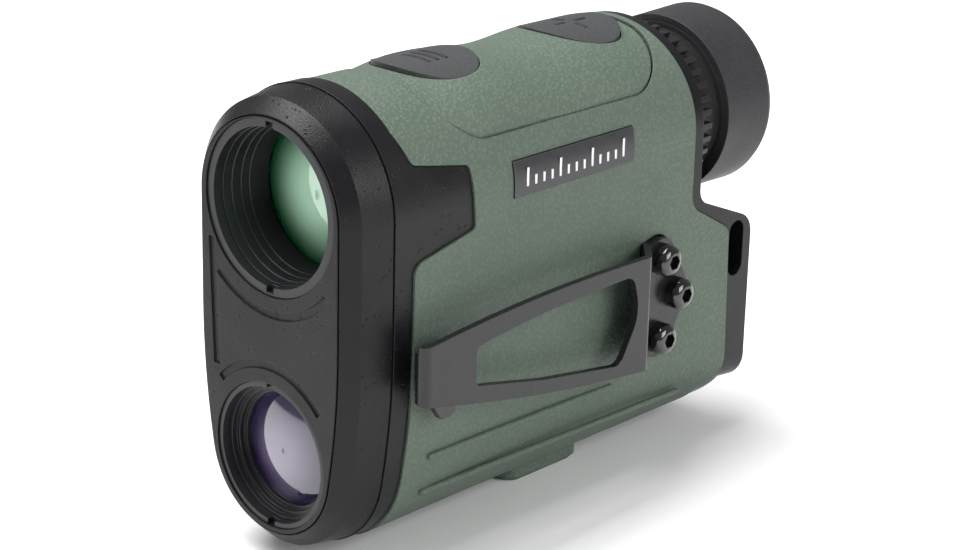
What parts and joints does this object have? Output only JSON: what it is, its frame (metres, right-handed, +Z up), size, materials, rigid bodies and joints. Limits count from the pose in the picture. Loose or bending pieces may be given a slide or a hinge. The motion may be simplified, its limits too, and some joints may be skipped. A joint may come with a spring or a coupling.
{
  "type": "laser rangefinder",
  "caption": "Upright monocular rangefinder with two stacked front lenses, twist-up eyecup, two top buttons, belt clip and tripod foot.",
  "frame": {"origin": "mouth of the tripod thread, at the middle of the foot under the body", "axes": "+Z up out of the roof, -Y the way the lenses look, +X the side that carries the belt clip"},
  "size_m": [0.0452, 0.1084, 0.079],
  "materials": {
    "black_satin": "satin, fine speckle",
    "black_gloss": "semi-gloss moulded plastic",
    "green_rubber": "fine leather grain rubber",
    "seal_rubber": "smooth",
    "inner_plastic": "matte moulding",
    "dark_steel": "blackened steel",
    "brass": "machined",
    "black_metal": "black anodised",
    "objective_glass": "green coating",
    "receiver_glass": "violet coating",
    "eye_glass": "clear coated",
    "inner_glass": "clear",
    "filter_glass": "dark red filter",
    "can_metal": "nickel plated",
    "board_green": "solder mask",
    "chip_black": "moulded packages",
    "ribbon_amber": "polyimide film",
    "button_black": "fine matte rubber",
    "ring_black": "satin moulding",
    "eyecup_rubber": "matte rubber",
    "battery_wrap": "shrink sleeve",
    "clip_steel": "black coated spring steel",
    "screw_black": "glossy black oxide",
    "badge_grey": "dark grey plate"
  },
  "bodies": {
    "root": {"front_bezel": "black_satin", "front_faceplate": "black_satin", "front_housing": "black_gloss", "front_gasket": "seal_rubber", "armour": "green_rubber", "control_panel": "green_rubber", "chassis_left": "inner_plastic", "chassis_right": "inner_plastic", "rear_cap": "black_satin", "rear_screws": "dark_steel", "tripod_insert": "brass", "objective_ring": "black_metal", "objective_barrel": "black_metal", "objective_front_element": "objective_glass", "objective_rear_element": "inner_glass", "objective_lock_ring": "black_metal", "receiver_ring": "black_metal", "receiver_barrel": "black_metal", "receiver_lens": "receiver_glass", "receiver_lock_ring": "black_metal", "receiver_filter": "filter_glass", "detector_holder": "inner_plastic", "detector": "can_metal", "prism_cage": "inner_plastic", "half_penta_prism": "inner_glass", "roof_prism": "inner_glass", "laser_holder": "can_metal", "laser_diode": "can_metal", "display_module": "inner_plastic", "main_board": "board_green", "board_chips": "chip_black", "board_screws": "dark_steel", "ribbon_cable": "ribbon_amber", "switch_board": "board_green", "switches": "chip_black", "ocular_tube": "black_metal", "field_lens": "inner_glass", "eyepiece_collar": "ring_black", "battery": "battery_wrap", "battery_tube": "inner_plastic", "front_contact": "can_metal", "clip_base": "clip_steel", "clip_screws": "screw_black", "clip_inserts": "brass", "badge": "badge_grey"},
    "menu_key": {"menu_button": "button_black", "menu_plunger": "inner_plastic"},
    "measure_key": {"measure_button": "button_black", "measure_plunger": "inner_plastic"},
    "focus_grip": {"focus_ring": "ring_black"},
    "focus_cell": {"eye_lens_cell": "black_metal", "eye_lens": "eye_glass"},
    "eyecup_slider": {"eyecup_guide": "inner_plastic"},
    "eyecup_turner": {"eyecup_core": "inner_plastic", "eyecup": "eyecup_rubber"},
    "cap_slider": {"battery_seal": "seal_rubber"},
    "cap_turner": {"battery_cap": "black_satin", "cap_contact": "can_metal"},
    "clip_spring": {"clip_arm": "clip_steel"}
  },
  "joints": [
    {"name": "menu_press", "type": "slide", "parent": "root", "child": "menu_key", "axis": [0, 0, -1], "range_m": [0, 0.0006], "stiffness_N_per_m": 900},
    {"name": "measure_press", "type": "slide", "parent": "root", "child": "measure_key", "axis": [0, 0, -1], "range_m": [0, 0.0006], "stiffness_N_per_m": 900},
    {"name": "focus_turn", "type": "hinge", "parent": "root", "child": "focus_grip", "pos_m": [0, 0.0288, 0.0591], "axis": [0, 1, 0], "range_deg": [-120, 120]},
    {"name": "focus_shift", "type": "slide", "parent": "root", "child": "focus_cell", "axis": [0, 1, 0], "range_m": [-0.001, 0.001]},
    {"name": "eyecup_rise", "type": "slide", "parent": "root", "child": "eyecup_slider", "axis": [0, 1, 0], "range_m": [0, 0.006]},
    {"name": "eyecup_twist", "type": "hinge", "parent": "eyecup_slider", "child": "eyecup_turner", "pos_m": [0, 0.0405, 0.0591], "axis": [0, 1, 0], "range_deg": [0, 120]},
    {"name": "cap_pull", "type": "slide", "parent": "root", "child": "cap_slider", "axis": [0, 1, 0], "range_m": [0, 0.012]},
    {"name": "cap_turn", "type": "hinge", "parent": "cap_slider", "child": "cap_turner", "pos_m": [0, 0.0405, 0.0195], "axis": [0, 1, 0], "range_deg": [0, 60]},
    {"name": "clip_flex", "type": "hinge", "parent": "root", "child": "clip_spring", "pos_m": [0.0205, 0.0093, 0.0337], "axis": [0, 0, 1], "range_deg": [0, 8], "stiffness_Nm_per_rad": 0.8}
  ],
  "couplings": [
    {"joint": "focus_shift", "follows": "focus_turn", "m_per_rad": 0.000477},
    {"joint": "eyecup_rise", "follows": "eyecup_twist", "m_per_rad": 0.0028648}
  ]
}
